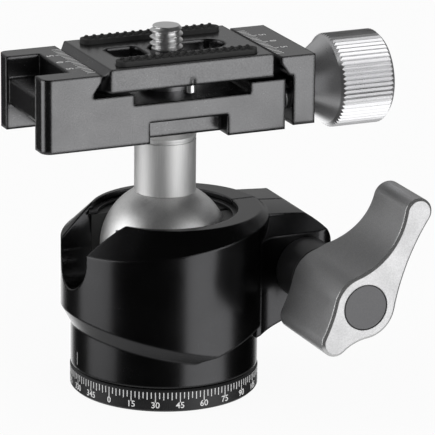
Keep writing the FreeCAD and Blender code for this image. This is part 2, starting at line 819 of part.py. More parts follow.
def guide_pins():
    """Two pins fixed in the jaw that slide in the clamp."""
    pins = [along_clamp_axis(guide_pin_radius, guide_pin_start, guide_pin_end, side * guide_pin_offset)
            for side in (-1, 1)]
    return Part.makeCompound(pins)


def jaw_springs():
    """Two springs round the guide pins that push the jaw open."""
    start = clamp_right - spring_pocket_depth + spring_wire_radius + face_gap
    length = jaw_inner_x - face_gap - spring_wire_radius - start
    springs = []
    for side in (-1, 1):
        helix = Part.makeHelix(length / spring_turns, length, spring_coil_radius)
        section = Part.Wire(Part.makeCircle(spring_wire_radius, Vec(spring_coil_radius, 0, 0), Vec(0, 1, 0)))
        coil = Part.Wire(helix).makePipeShell([section], True, True)
        coil.rotate(Vec(0, 0, 0), Vec(0, 1, 0), 90)
        coil.translate(Vec(start, side * guide_pin_offset, clamp_screw_z))
        springs.append(coil)
    return Part.makeCompound(springs)


def clamp_screw():
    """Screw that the clamp knob turns."""
    return along_clamp_axis(clamp_screw_radius, clamp_screw_start, clamp_screw_end)


def clamp_washer():
    """Washer between clamp knob and jaw."""
    start = jaw_outer_x + face_gap
    outside = along_clamp_axis(clamp_washer_radius, start, clamp_washer_end)
    return outside.cut(along_clamp_axis(clamp_screw_radius + running_gap, start - past, clamp_washer_end + past))


def clamp_knob():
    """Fluted round knob with a conical neck."""
    cone_end = clamp_knob_grip_start
    inner = clamp_knob_radius - clamp_knob_flute_depth
    envelope = turned_lying([
        (clamp_knob_start, 0),
        (clamp_knob_start, clamp_knob_neck_radius),
        (clamp_knob_start + clamp_knob_neck_length, clamp_knob_neck_radius + clamp_knob_neck_flare),
        (cone_end - clamp_knob_shoulder, inner - clamp_knob_shoulder / 2),
        (cone_end, clamp_knob_radius),
        (clamp_knob_end - clamp_knob_chamfer, clamp_knob_radius),
        (clamp_knob_end, clamp_knob_radius - clamp_knob_chamfer),
        (clamp_knob_end, 0),
    ], clamp_screw_z)
    star = []
    for index in range(2 * clamp_knob_flutes):
        radius = clamp_knob_radius if index % 2 == 0 else inner
        angle = math.pi * index / clamp_knob_flutes
        star.append(Vec(clamp_knob_start, radius * math.cos(angle), clamp_screw_z + radius * math.sin(angle)))
    fluted = face_of(star).extrude(RIGHT * (clamp_knob_end - clamp_knob_start))
    bore_end = clamp_knob_start + clamp_knob_bore_depth
    bore = along_clamp_axis(clamp_screw_radius + fixed_gap, clamp_knob_start - past, bore_end)
    return envelope.common(fluted).cut(bore)


def plate():
    """Dovetail camera plate with screw slot, window and pad grooves."""
    centre = dovetail_centre
    y_front = plate_offset_y - plate_half_length
    y_back = plate_offset_y + plate_half_length
    edge_top = plate_bottom + plate_edge_height
    slope = flank_run / flank_height
    wide = dovetail_half_width
    narrow = plate_top_half_width
    flank_top = edge_top + (wide - narrow) / slope
    outline = []
    for side in (1, -1):
        column = [
            Vec(centre + side * wide, y_back, plate_bottom),
            Vec(centre + side * wide, y_back, edge_top),
            Vec(centre + side * narrow, y_back, min(flank_top, plate_top - face_gap)),
            Vec(centre + side * narrow, y_back, plate_top),
        ]
        outline += column if side == 1 else column[::-1]
    bar = face_of(outline).extrude(FRONT * (2 * plate_half_length))
    cut = plate_corner_cut
    plan = face_of([
        Vec(centre - wide, y_front + cut, plate_bottom),
        Vec(centre - wide + cut, y_front, plate_bottom),
        Vec(centre + wide - cut, y_front, plate_bottom),
        Vec(centre + wide, y_front + cut, plate_bottom),
        Vec(centre + wide, y_back - cut, plate_bottom),
        Vec(centre + wide - cut, y_back, plate_bottom),
        Vec(centre - wide + cut, y_back, plate_bottom),
        Vec(centre - wide, y_back - cut, plate_bottom),
    ])
    bar = bar.common(plan.extrude(UP * plate_thickness))
    slot_y = plate_offset_y
    slot = round_slot(0, slot_travel, slot_y, slot_half_width, plate_bottom - past, plate_top + past)
    pocket_half = camera_screw_head_radius + loose_gap
    pocket = round_slot(0, slot_travel, slot_y, pocket_half, plate_bottom - past, pocket_top)
    window = block(plate_window_left, plate_window_right, slot_y - plate_window_half_width,
                   slot_y + plate_window_half_width, plate_bottom - past, plate_top + past)
    window = chamfered(window, plate_window_corner, lambda edge: edge.BoundBox.ZLength > past)
    cuts = [slot, pocket, window]
    for side in (-1, 1):
        cuts.append(pad_shape(side, fixed_gap, plate_top - pad_sink, plate_top + past))
        stop_y = plate_offset_y + side * stop_screw_offset
        cuts.append(rod(stop_screw_radius + fixed_gap, Vec(centre, stop_y, plate_bottom - past),
                        stop_screw_hold + fixed_gap + past, UP))
    return bar.cut(cuts)


def pad_shape(side, extra, bottom, top):
    """Bar with round ends, where one rubber pad lies."""
    half_width = pad_width / 2 + extra
    reach = pad_length / 2 - pad_width / 2
    y = plate_offset_y + side * pad_offset
    return round_slot(dovetail_centre - reach, dovetail_centre + reach, y, half_width, bottom, top)


def rubber_pads():
    """Two grip pads on the plate."""
    bottom = plate_top - pad_sink
    return Part.makeCompound([pad_shape(side, 0, bottom, bottom + pad_height) for side in (-1, 1)])


def stop_screws():
    """Two small screws under the plate that keep it from sliding out."""
    screws = []
    for side in (-1, 1):
        place = Vec(dovetail_centre, plate_offset_y + side * stop_screw_offset, plate_bottom - stop_screw_drop)
        screws.append(rod(stop_screw_radius, place, stop_screw_drop + stop_screw_hold, UP))
    return Part.makeCompound(screws)


def camera_screw():
    """Captive camera screw with a slim neck, a flat head and a coin slot."""
    head = rod(camera_screw_head_radius, Vec(0, plate_offset_y, camera_head_bottom),
               camera_screw_head_height, UP)
    thread_bottom = plate_top + face_gap
    thread = rod(camera_screw_radius, Vec(0, plate_offset_y, thread_bottom),
                 camera_screw_top - thread_bottom, UP)
    slim = rod(camera_screw_neck_radius, Vec(0, plate_offset_y, camera_head_bottom),
               thread_bottom - camera_head_bottom, UP)
    slot = block(-camera_screw_head_radius - past, camera_screw_head_radius + past,
                 plate_offset_y - camera_screw_slot_width / 2, plate_offset_y + camera_screw_slot_width / 2,
                 camera_head_bottom - past, camera_head_bottom + camera_screw_slot_depth)
    return head.fuse([slim, thread]).removeSplitter().cut(slot)


def camera_washer():
    """Washer between the camera screw's head and the plate."""
    washer = ring(camera_screw_head_radius, camera_screw_radius + running_gap,
                  camera_washer_bottom, camera_washer_top)
    washer.translate(Vec(0, plate_offset_y, 0))
    return washer


SUBPARTS = {
    "base_ring": base_ring,
    "pan_axle": pan_axle,
    "pan_washer": pan_washer,
    "wave_washer": wave_washer,
    "pan_ring_nut": pan_ring_nut,
    "housing": housing,
    "ball_race": ball_race,
    "race_circlip": race_circlip,
    "lock_thread_bush": lock_thread_bush,
    "lock_collar": lock_collar,
    "lock_washer": lock_washer,
    "lock_spindle": lock_spindle,
    "lock_knob": lock_knob,
    "knob_cap": knob_cap,
    "knob_screw": knob_screw,
    "ball": ball,
    "neck": neck,
    "neck_collar": neck_collar,
    "neck_bolt": neck_bolt,
    "clamp_body": clamp_body,
    "clamp_jaw": clamp_jaw,
    "guide_pins": guide_pins,
    "jaw_springs": jaw_springs,
    "clamp_screw": clamp_screw,
    "clamp_washer": clamp_washer,
    "clamp_knob": clamp_knob,
    "plate": plate,
    "rubber_pads": rubber_pads,
    "stop_screws": stop_screws,
    "camera_screw": camera_screw,
    "camera_washer": camera_washer,
}

os.makedirs("parts", exist_ok=True)
for name, make in SUBPARTS.items():
    shape = make()
    sound = "sound" if shape.isValid() and all(s.isClosed() for s in shape.Solids) else "BROKEN"
    print(name, sound, "solids", len(shape.Solids), "volume", round(shape.Volume, 2))
    shape.exportStep("parts/" + name + ".step")
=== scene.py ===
# %% [markdown]
# # A small tripod ball head in its real finishes
#
# The real object is a camera tripod head: a steel-like ball on a stubby neck
# turns inside a split black housing, a lever knob on the right squeezes the
# housing shut, and a dovetail clamp on top holds a camera plate. Its shapes
# come from the CAD frame. This lesson gives every part its finish, adds the
# printed scale, the numerals, the screw thread and the pads' grip pattern, and
# sets up a studio like the one such a product is photographed in.
#
# The CAD parts are loaded first. They are never moved: everything new is built
# round them, in metres, in the same frame.

# %% Load the frame
import math

import bpy
from mathutils import Matrix, Vector


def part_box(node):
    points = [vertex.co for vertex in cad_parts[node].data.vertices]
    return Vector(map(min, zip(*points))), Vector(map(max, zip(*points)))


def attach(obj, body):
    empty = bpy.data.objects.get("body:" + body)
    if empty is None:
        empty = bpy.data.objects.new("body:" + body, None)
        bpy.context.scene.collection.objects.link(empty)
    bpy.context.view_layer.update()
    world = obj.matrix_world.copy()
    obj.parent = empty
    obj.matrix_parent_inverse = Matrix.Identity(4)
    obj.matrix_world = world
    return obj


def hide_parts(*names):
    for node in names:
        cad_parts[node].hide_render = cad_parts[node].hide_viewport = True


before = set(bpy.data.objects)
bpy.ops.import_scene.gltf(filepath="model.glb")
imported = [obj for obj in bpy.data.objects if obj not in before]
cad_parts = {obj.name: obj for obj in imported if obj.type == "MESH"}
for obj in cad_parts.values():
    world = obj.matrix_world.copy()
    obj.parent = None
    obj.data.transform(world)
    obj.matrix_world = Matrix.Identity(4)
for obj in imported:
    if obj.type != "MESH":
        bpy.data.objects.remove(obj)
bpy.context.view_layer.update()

MM = 0.001

print("nodes:", len(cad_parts))


# %% [markdown]
# ## Working by hand, in code
#
# Blender's operators act on whatever is selected, just as they do for a person
# at the screen. The frame arrives with all its parts selected, so a new piece
# would drag them along. That is why each piece starts by deselecting
# everything. A finished piece also has its move, turn and scale written into
# its mesh, so that a pattern on Object coordinates lies where it was designed.
#
# One could make the meshes from lists of points instead. Primitives, extrude,
# resize and modifiers are used here because they leave a recipe that a
# beginner can repeat with the mouse.


# %% Helpers to start and finish a piece
def let_go():
    """Deselect everything."""
    if bpy.context.mode != "OBJECT":
        bpy.ops.object.mode_set(mode="OBJECT")
    bpy.ops.object.select_all(action="DESELECT")


def pick(piece):
    """Select one piece and make it active."""
    let_go()
    piece.select_set(True)
    bpy.context.view_layer.objects.active = piece


def settle(piece):
    """Write the piece's move, turn and scale into its mesh."""
    pick(piece)
    bpy.ops.object.transform_apply(location=True, rotation=True, scale=True)


def apply_all(piece):
    """Apply every modifier on the piece, in order."""
    pick(piece)
    for modifier in list(piece.modifiers):
        bpy.ops.object.modifier_apply(modifier=modifier.name)


def one_piece(parts, name):
    """Join several meshes into one named piece."""
    let_go()
    for part in parts:
        part.select_set(True)
    bpy.context.view_layer.objects.active = parts[0]
    if len(parts) > 1:
        bpy.ops.object.join()
    piece = bpy.context.active_object
    piece.name = name
    piece.data.name = name
    settle(piece)
    return piece


def copied(piece, change):
    """Copy a piece with its own mesh, and move the copy's points by a matrix."""
    twin = piece.copy()
    twin.data = piece.data.copy()
    twin.data.transform(change)
    bpy.context.collection.objects.link(twin)
    return twin


def outward(piece):
    """Point all faces outwards."""
    pick(piece)
    bpy.ops.object.mode_set(mode="EDIT")
    bpy.ops.mesh.select_all(action="SELECT")
    bpy.ops.mesh.remove_doubles(threshold=1e-7)
    bpy.ops.mesh.normals_make_consistent(inside=False)
    bpy.ops.object.mode_set(mode="OBJECT")


def smooth_by(piece, degrees):
    """Shade smooth, and keep edges sharper than the angle."""
    pick(piece)
    bpy.ops.object.shade_smooth_by_angle(angle=math.radians(degrees))


# %% [markdown]
# ## The camera
#
# The photograph was taken from a little above, slightly to the left of the
# lever knob, with a long lens: the verticals hardly converge. A camera that
# stands far away with a narrow lens gives that flat, catalogue look. A short
# lens close by would make the clamp look larger than the base.
#
# The camera's three axes are built from its direction and written straight
# into its matrix, together with the tiny roll of the photograph.

# %% Camera
view_turn = math.radians(-24.1)
view_height = math.radians(17.03)
view_roll = math.radians(0.6)
view_distance = 0.7453
view_aim = Vector((0.00926, -0.00414, 0.03331))
lens_mm = 321.07

level_right = Vector((math.cos(view_turn), math.sin(view_turn), 0))
look = Vector((
    -math.sin(view_turn) * math.cos(view_height),
    math.cos(view_turn) * math.cos(view_height),
    -math.sin(view_height),
))
level_up = level_right.cross(look)
camera_right = level_right * math.cos(view_roll) + level_up * math.sin(view_roll)
camera_up = level_up * math.cos(view_roll) - level_right * math.sin(view_roll)

let_go()
bpy.ops.object.camera_add()
camera = bpy.context.active_object
camera.name = "studio_camera"
camera.data.sensor_width = 36.0
camera.data.lens = lens_mm
camera.data.clip_start = 0.05
camera.data.clip_end = 20.0
axes = Matrix((camera_right, camera_up, -look)).transposed().to_4x4()
camera.matrix_world = Matrix.Translation(view_aim - look * view_distance) @ axes
bpy.context.scene.camera = camera
print("camera at", [round(value, 4) for value in camera.matrix_world.translation])

# %% [markdown]
# ## The studio
#
# The object stands on white, with no visible horizon. Its front faces are
# bright and its tops are dark, so the main light is a large soft box in front
# and to the right, about level with the object. A slightly weaker one stands
# at the left, and a strip behind gives the upper edges a thin line of light.
# Between the two large boxes it stays dark, which gives round parts their
# black middle.
#
# A soft box's brightness is what a mirror would show in it. An area lamp's
# power is that brightness times its area times pi, so the helper asks for the
# brightness, which stays the same when a lamp is made larger or moved.

# %% Soft boxes
lamp_aim = Vector((0, 0, 0.04))
lamp_distance = 0.9


def soft_box(name, direction, distance, width, height, brightness):
    """Place a soft rectangular lamp that looks at the object."""
    let_go()
    bpy.ops.object.light_add(type="AREA")
    lamp = bpy.context.active_object
    lamp.name = name
    lamp.data.shape = "RECTANGLE"
    lamp.data.size = width
    lamp.data.size_y = height
    lamp.data.energy = brightness * math.pi * width * height
    lamp.location = lamp_aim + Vector(direction).normalized() * distance
    lamp.rotation_euler = (lamp_aim - lamp.location).to_track_quat("-Z", "Y").to_euler()
    lamp.visible_camera = False
    print(name, "power", round(lamp.data.energy, 2), "W")
    return lamp


soft_box("key_soft_box", (0.48, -0.87, 0.02), lamp_distance, 0.96, 1.15, 1.9)
soft_box("left_soft_box", (-0.95, 0.27, 0.12), lamp_distance, 0.80, 1.00, 1.7)
soft_box("rim_soft_box", (0.35, 0.75, 0.95), lamp_distance, 0.60, 0.20, 0.50)

# %% [markdown]
# ## The white surroundings
#
# The background of the photograph is pure white. Turning up the lamps until
# the floor burns out would bleach the object too. Instead the world is white
# for rays that come straight from the camera or through glass, and a moderate
# grey for the light that falls on matt surfaces. Metal isn't shown the white
# background. It gets a darker studio to mirror: a dim wall behind, a pale floor
# below and far behind to the right, and otherwise nearly black. That was chosen
# for likeness, because the photograph's metal is black between its streaks.

# %% World and its direction
world = bpy.data.worlds.new("white_studio")
bpy.context.scene.world = world
world.use_nodes = True
tree = world.node_tree
sky = tree.nodes["Background"]
sky.inputs["Color"].default_value = (1, 1, 1, 1)

ray = tree.nodes.new("ShaderNodeLightPath")
direction = tree.nodes.new("ShaderNodeTexCoord")
split = tree.nodes.new("ShaderNodeSeparateXYZ")
tree.links.new(direction.outputs["Generated"], split.inputs["Vector"])
print("world:", world.name)


# %% Helpers for brightness by direction
def world_range(source, start, end, first, last):
    """Map a direction's component to a brightness."""
    node = tree.nodes.new("ShaderNodeMapRange")
    node.interpolation_type = "SMOOTHSTEP"
    node.inputs["From Min"].default_value = start
    node.inputs["From Max"].default_value = end
    node.inputs["To Min"].default_value = first
    node.inputs["To Max"].default_value = last
    tree.links.new(source, node.inputs["Value"])
    return node.outputs["Result"]


def world_math(operation, first, second):
    """Join two brightnesses, or a brightness and a number."""
    node = tree.nodes.new("ShaderNodeMath")
    node.operation = operation
    tree.links.new(first, node.inputs[0])
    if isinstance(second, float):
        node.inputs[1].default_value = second
    else:
        tree.links.new(second, node.inputs[1])
    return node.outputs["Value"]


def world_choice(factor, if_no, if_yes):
    """Choose between two strengths by kind of ray."""
    node = tree.nodes.new("ShaderNodeMix")
    node.data_type = "FLOAT"
    tree.links.new(factor, node.inputs["Factor"])
    for socket, value in ((node.inputs["A"], if_no), (node.inputs["B"], if_yes)):
        if isinstance(value, float):
            socket.default_value = value
        else:
            tree.links.new(value, socket)
    return node.outputs["Result"]


# %% What metal sees
wall_in_front = 0.02
wall_behind = 0.42
floor_below = 0.60
floor_far_behind = 1.5
light_on_matt = 0.50

backwards = world_range(split.outputs["Y"], 0.1, 0.8, wall_in_front, wall_behind)
above_floor = world_range(split.outputs["Z"], -0.10, 0.15, 0.05, 1.0)
behind = world_math("MULTIPLY", backwards, above_floor)
below = world_range(split.outputs["Z"], -0.85, -0.35, floor_below, 0.0)
far_back = world_range(split.outputs["Y"], 0.5, 0.85, 0.0, 1.0)
right_half = world_range(split.outputs["X"], -0.25, 0.15, 0.0, 1.0)
low = world_range(split.outputs["Z"], -0.35, -0.05, floor_far_behind, 0.0)
bounce = world_math("MULTIPLY", world_math("MULTIPLY", far_back, right_half), low)
seen_in_metal = world_math("ADD", world_math("ADD", behind, below), bounce)
matt_or_metal = world_choice(ray.outputs["Is Glossy Ray"], light_on_matt, seen_in_metal)
straight = world_math("MAXIMUM", ray.outputs["Is Camera Ray"],
                      ray.outputs["Is Transmission Ray"])
tree.links.new(world_choice(straight, matt_or_metal, 1.0), sky.inputs["Strength"])
print("world nodes:", len(tree.nodes))

# %% [markdown]
# ## The floor
#
# A plain pale floor that fades into the background. A wholly matt one would
# show a grey horizon, so this one is mostly its own white for the camera, with
# a small share of matt white. So small a share leaves hardly any shadow: it is
# one to three levels of 255 darker than the floor. The white for reflections
# stays idle while the floor is hidden from them.
#
# The soft boxes reach below the floor's level, because upright faces, seen from
# a little above, mirror what lies below the horizon. So the floor is left out
# of reflections and doesn't block the lamps. In reflections the world's lower
# half stands in for it.

# %% Floor
floor_radius = 6.0
floor_white = 0.93

let_go()
bpy.ops.mesh.primitive_circle_add(vertices=96, radius=floor_radius, fill_type="NGON",
                                  location=(0, 0, 0))
floor = bpy.context.active_object
floor.name = "studio_floor"
floor.visible_glossy = False
floor.visible_shadow = False

floor_paint = bpy.data.materials.new("pale_floor")
floor_paint.use_nodes = True
tree = floor_paint.node_tree
matt = tree.nodes["Principled BSDF"]
matt.inputs["Roughness"].default_value = 0.95
matt.inputs["Specular IOR Level"].default_value = 0.0
matt.inputs["Base Color"].default_value = (0.90, 0.90, 0.90, 1)
glow = tree.nodes.new("ShaderNodeEmission")
glow.inputs["Color"].default_value = (1, 1, 1, 1)
glow.inputs["Strength"].default_value = 1.0
ray = tree.nodes.new("ShaderNodeLightPath")
seen = world_math("MAXIMUM", ray.outputs["Is Camera Ray"], ray.outputs["Is Glossy Ray"])
seen = world_math("MAXIMUM", seen, ray.outputs["Is Transmission Ray"])
share = world_math("MULTIPLY", seen, floor_white)
blend = tree.nodes.new("ShaderNodeMixShader")
tree.links.new(share, blend.inputs["Fac"])
tree.links.new(matt.outputs["BSDF"], blend.inputs[1])
tree.links.new(glow.outputs["Emission"], blend.inputs[2])
tree.links.new(blend.outputs["Shader"], tree.nodes["Material Output"].inputs["Surface"])
floor.data.materials.append(floor_paint)
print("floor radius", floor_radius, "m")

# %% [markdown]
# ## How the finishes are made
#
# Almost everything here is metal: aluminium that was bead-blasted and dyed
# black or grey, turned stainless steel, polished edges. Such surfaces differ
# in four things: colour, how metallic they are, how rough they are, and the
# size and direction of their grain. An image of a metal would stretch and
# repeat on these shapes. Noise on Object coordinates does neither, and it
# stays with the part when a joint moves.
#
# Real parts also have edges that are slightly rounded. The CAD solids' edges
# are sharp, so a Bevel node rounds the shading there. The difference between
# the rounded and the true normal also says where an edge is, which is where
# handling polishes a finish first. There the colour can also carry painted
# light: a painted highlight on edges made lighter, a painted shade on edges
# made darker.


# %% Parts of a finish
def start_finish(name):
    """New material with its shader and the part's own coordinates."""
    material = bpy.data.materials.new(name)
    material.use_nodes = True
    nodes = material.node_tree.nodes
    shader = nodes["Principled BSDF"]
    where = nodes.new("ShaderNodeTexCoord")
    return material, nodes, material.node_tree.links, shader, where


def grain(nodes, links, where, size, stretch=(1, 1, 1), detail=3.0):
    """Noise whose grains have a given size in metres."""
    mapping = nodes.new("ShaderNodeMapping")
    mapping.inputs["Scale"].default_value = stretch
    noise = nodes.new("ShaderNodeTexNoise")
    noise.inputs["Scale"].default_value = 1.0 / size
    noise.inputs["Detail"].default_value = detail
    links.new(where.outputs["Object"], mapping.inputs["Vector"])
    links.new(mapping.outputs["Vector"], noise.inputs["Vector"])
    return noise.outputs["Fac"]


def spread(nodes, links, pattern, low, high, start=0.3, end=0.7):
    """Stretch a pattern to run between two values."""
    node = nodes.new("ShaderNodeMapRange")
    node.inputs["From Min"].default_value = start
    node.inputs["From Max"].default_value = end
    node.inputs["To Min"].default_value = low
    node.inputs["To Max"].default_value = high
    links.new(pattern, node.inputs["Value"])
    return node.outputs["Result"]


def tint(nodes, links, pattern, dark, light):
    """Colour a pattern from dark to light."""
    ramp = nodes.new("ShaderNodeValToRGB")
    ramp.color_ramp.elements[0].position = 0.3
    ramp.color_ramp.elements[0].color = (*dark, 1)
    ramp.color_ramp.elements[1].position = 0.7
    ramp.color_ramp.elements[1].color = (*light, 1)
    links.new(pattern, ramp.inputs["Fac"])
    return ramp.outputs["Color"]


def over(nodes, links, factor, below, above):
    """Lay one colour over another where the factor is high."""
    node = nodes.new("ShaderNodeMix")
    node.data_type = "RGBA"
    links.new(factor, node.inputs[0])
    links.new(below, node.inputs[6])
    if isinstance(above, tuple):
        node.inputs[7].default_value = (*above, 1)
    else:
        links.new(above, node.inputs[7])
    return node.outputs[2]


def rounded_edges(nodes, links, radius):
    """Shading normal with rounded edges, and a pattern that is 1 on them."""
    edge = nodes.new("ShaderNodeBevel")
    edge.samples = 8
    edge.inputs["Radius"].default_value = radius
    true_normal = nodes.new("ShaderNodeNewGeometry")
    likeness = nodes.new("ShaderNodeVectorMath")
    likeness.operation = "DOT_PRODUCT"
    links.new(edge.outputs["Normal"], likeness.inputs[0])
    links.new(true_normal.outputs["Normal"], likeness.inputs[1])
    on_edge = spread(nodes, links, likeness.outputs["Value"], 1.0, 0.0, 0.72, 0.97)
    return edge.outputs["Normal"], on_edge


def relief(nodes, links, shader, pattern, depth, normal):
    """Add a fine relief on top of the rounded edges."""
    bump = nodes.new("ShaderNodeBump")
    bump.inputs["Strength"].default_value = 1.0
    bump.inputs["Distance"].default_value = depth
    links.new(pattern, bump.inputs["Height"])
    links.new(normal, bump.inputs["Normal"])
    links.new(bump.outputs["Normal"], shader.inputs["Normal"])


# %% [markdown]
# ## A metal finish from its few numbers
#
# The finishes below share one recipe. Fine grain mixed with wide soft clouds
# steers colour and roughness together, the fine grain alone makes the relief,
# and the edges may have a tone of their own: wear with a painted highlight
# where it is lighter, painted shade where it is darker. The numbers that are
# the same all over a part, such as how metallic it is, are typed into the
# shader itself.


# %% Recipe for a metal finish
def metal_finish(name, dark, light, metallic, smooth, rough, size, stretch=(1, 1, 1),
                 depth=2e-6, edge=0.00025, edge_wear_and_painted_light=None, cloud=0.006):
    """Grained metal between two tones and two roughnesses."""
    material, nodes, links, shader, where = start_finish(name)
    shader.inputs["Metallic"].default_value = metallic
    fine = grain(nodes, links, where, size, stretch)
    wide = grain(nodes, links, where, cloud, stretch, 2.0)
    mixed = nodes.new("ShaderNodeMath")
    mixed.operation = "MULTIPLY_ADD"
    mixed.inputs[1].default_value = 0.35
    links.new(wide, mixed.inputs[0])
    links.new(spread(nodes, links, fine, 0.0, 0.65, 0.0, 1.0), mixed.inputs[2])
    colour = tint(nodes, links, mixed.outputs["Value"], dark, light)
    normal, on_edge = rounded_edges(nodes, links, edge)
    # The edge tone is painted light: lighter edges are wear with a painted highlight, darker ones
    # are painted shade.
    if edge_wear_and_painted_light is not None:
        colour = over(nodes, links, on_edge, colour, edge_wear_and_painted_light)
    links.new(colour, shader.inputs["Base Color"])
    roughness = spread(nodes, links, mixed.outputs["Value"], smooth, rough)
    links.new(roughness, shader.inputs["Roughness"])
    relief(nodes, links, shader, fine, depth, normal)
    return material


# %% [markdown]
# ## Black anodised aluminium
#
# The housing, the base ring and the clamp are all black, yet they look
# different. The housing is turned and smooth, so it shows soft upright
# streaks. The clamp is bead-blasted: its front scatters the key light into an
# even, slightly speckled grey, while its rounded edges look away and stay
# black; they are also painted near black, a painted shade along the edges.
# The edges of the housing, ring and collar are painted lighter, wear with a
# painted highlight. A black diffuse paint could never turn that bright, so
# housing and clamp are metallic all through, the ring and the collar about
# half, and their brightness comes from reflection.

# %% Black finishes
# Edge tones: near black on the clamp, a painted shade; lighter on the housing, ring and collar,
# wear with a painted highlight.
housing_black = metal_finish("satin_black_housing", (0.042, 0.042, 0.043), (0.060, 0.060, 0.062),
                             1.0, 0.20, 0.28, 0.00016, depth=1.0e-6, edge=0.0006,
                             edge_wear_and_painted_light=(0.10, 0.10, 0.102))
clamp_black = metal_finish("blasted_black_clamp", (0.105, 0.105, 0.107), (0.165, 0.165, 0.168),
                           1.0, 0.20, 0.28, 0.00022, depth=1.5e-6, edge=0.0010,
                           edge_wear_and_painted_light=(0.012, 0.012, 0.012))
ring_black = metal_finish("turned_black_ring", (0.020, 0.020, 0.021), (0.034, 0.034, 0.035),
                          0.45, 0.38, 0.50, 0.00020, (1, 1, 6), edge=0.0002,
                          edge_wear_and_painted_light=(0.09, 0.09, 0.09))
collar_black = metal_finish("turned_black_collar", (0.030, 0.030, 0.031), (0.050, 0.050, 0.052),
                            0.55, 0.32, 0.44, 0.00020, (1, 6, 1), edge=0.0003,
                            edge_wear_and_painted_light=(0.12, 0.12, 0.12))
print("black finishes:", housing_black.name, clamp_black.name, ring_black.name,
      collar_black.name)

# %% [markdown]
# ## Grey, silver and steel
#
# The clamp knob is aluminium left in its own grey, with bright flutes. Ball
# and neck are satin-polished, with a grain that runs up and down: the noise
# changes more slowly along the height, so its grains become upright
# hairlines, long ones on the neck and short ones on the ball. The screws are
# plain steel, smoother and a little darker in tone.

# %% Light metals
clamp_knob_grey = metal_finish("fluted_grey_knob", (0.56, 0.56, 0.57), (0.72, 0.72, 0.73),
                               0.90, 0.26, 0.38, 0.00020, depth=1.5e-6, edge=0.00012,
                               edge_wear_and_painted_light=(0.60, 0.60, 0.60))
neck_silver = metal_finish("satin_silver_neck", (0.78, 0.78, 0.78), (0.90, 0.90, 0.895),
                           1.0, 0.52, 0.64, 0.00022, (1, 1, 0.06), depth=1.5e-6, edge=0.0002)
ball_silver = metal_finish("brushed_silver_ball", (0.78, 0.78, 0.78), (0.92, 0.92, 0.915),
                           1.0, 0.36, 0.50, 0.00030, (1, 1, 0.3), depth=3.0e-6, edge=0.0001)
screw_steel = metal_finish("turned_screw_steel", (0.74, 0.74, 0.74), (0.88, 0.88, 0.88),
                           1.0, 0.26, 0.38, 0.00015, (1, 1, 4), depth=1.0e-6, edge=0.00012)
inner_steel = metal_finish("plain_inner_steel", (0.36, 0.36, 0.37), (0.50, 0.50, 0.51),
                           1.0, 0.28, 0.42, 0.00020, depth=1.0e-6, edge=0.0001)
# The cap's edges are painted lighter: wear with a painted highlight.
cap_grey = metal_finish("satin_dark_cap", (0.085, 0.085, 0.088), (0.115, 0.115, 0.118),
                        0.75, 0.30, 0.40, 0.00020, depth=1.0e-6, edge=0.0002,
                        edge_wear_and_painted_light=(0.25, 0.25, 0.25))
print("light metals: fluted knob, neck, ball, steel, cap")

# %% [markdown]
# ## Plastic, nylon and rubber
#
# The race round the ball is a dark, slightly waxy plastic, the washer below
# the housing is nylon, and the pads on the plate are soft black rubber. None
# of them is metallic. Their sheen is broad and weak, and rubber has a fine
# dusty bloom that makes it greyer than the metal round it.


# %% Recipe for plastics
def plastic_finish(name, dark, light, smooth, rough, size, depth, edge):
    """Mottled plastic or rubber."""
    material, nodes, links, shader, where = start_finish(name)
    shader.inputs["IOR"].default_value = 1.48
    fine = grain(nodes, links, where, size)
    normal, on_edge = rounded_edges(nodes, links, edge)
    colour = tint(nodes, links, fine, dark, light)
    links.new(over(nodes, links, on_edge, colour, light), shader.inputs["Base Color"])
    links.new(spread(nodes, links, fine, smooth, rough), shader.inputs["Roughness"])
    relief(nodes, links, shader, fine, depth, normal)
    return material


race_plastic = plastic_finish("dark_race_plastic", (0.018, 0.018, 0.018), (0.030, 0.030, 0.030),
                              0.35, 0.50, 0.0003, 2e-6, 0.0002)
washer_nylon = plastic_finish("pale_washer_nylon", (0.55, 0.54, 0.50), (0.68, 0.67, 0.63),
                              0.45, 0.60, 0.0003, 2e-6, 0.0001)
pad_rubber = plastic_finish("black_pad_rubber", (0.014, 0.014, 0.014), (0.034, 0.034, 0.034),
                            0.55, 0.75, 0.00025, 8e-6, 0.00015)
print("plastics: race, washer, pads")

# %% [markdown]
# ## The lever knob's front
#
# The lever knob is blasted aluminium in its own grey. Its front face is painted
# paler than its sides, a painted highlight where the key light falls, and the
# chamfer round the front was cut afterwards and is mirror bright. The part's
# own normal finds both: on the front it points straight forwards, and on the
# chamfer it is halfway to the side.


# %% Lever knob finish
def near(nodes, links, value, middle, reach):
    """Pattern that is 1 where a value lies near another."""
    node = nodes.new("ShaderNodeMath")
    node.operation = "COMPARE"
    node.inputs[1].default_value = middle
    node.inputs[2].default_value = reach
    links.new(value, node.inputs[0])
    return node.outputs["Value"]


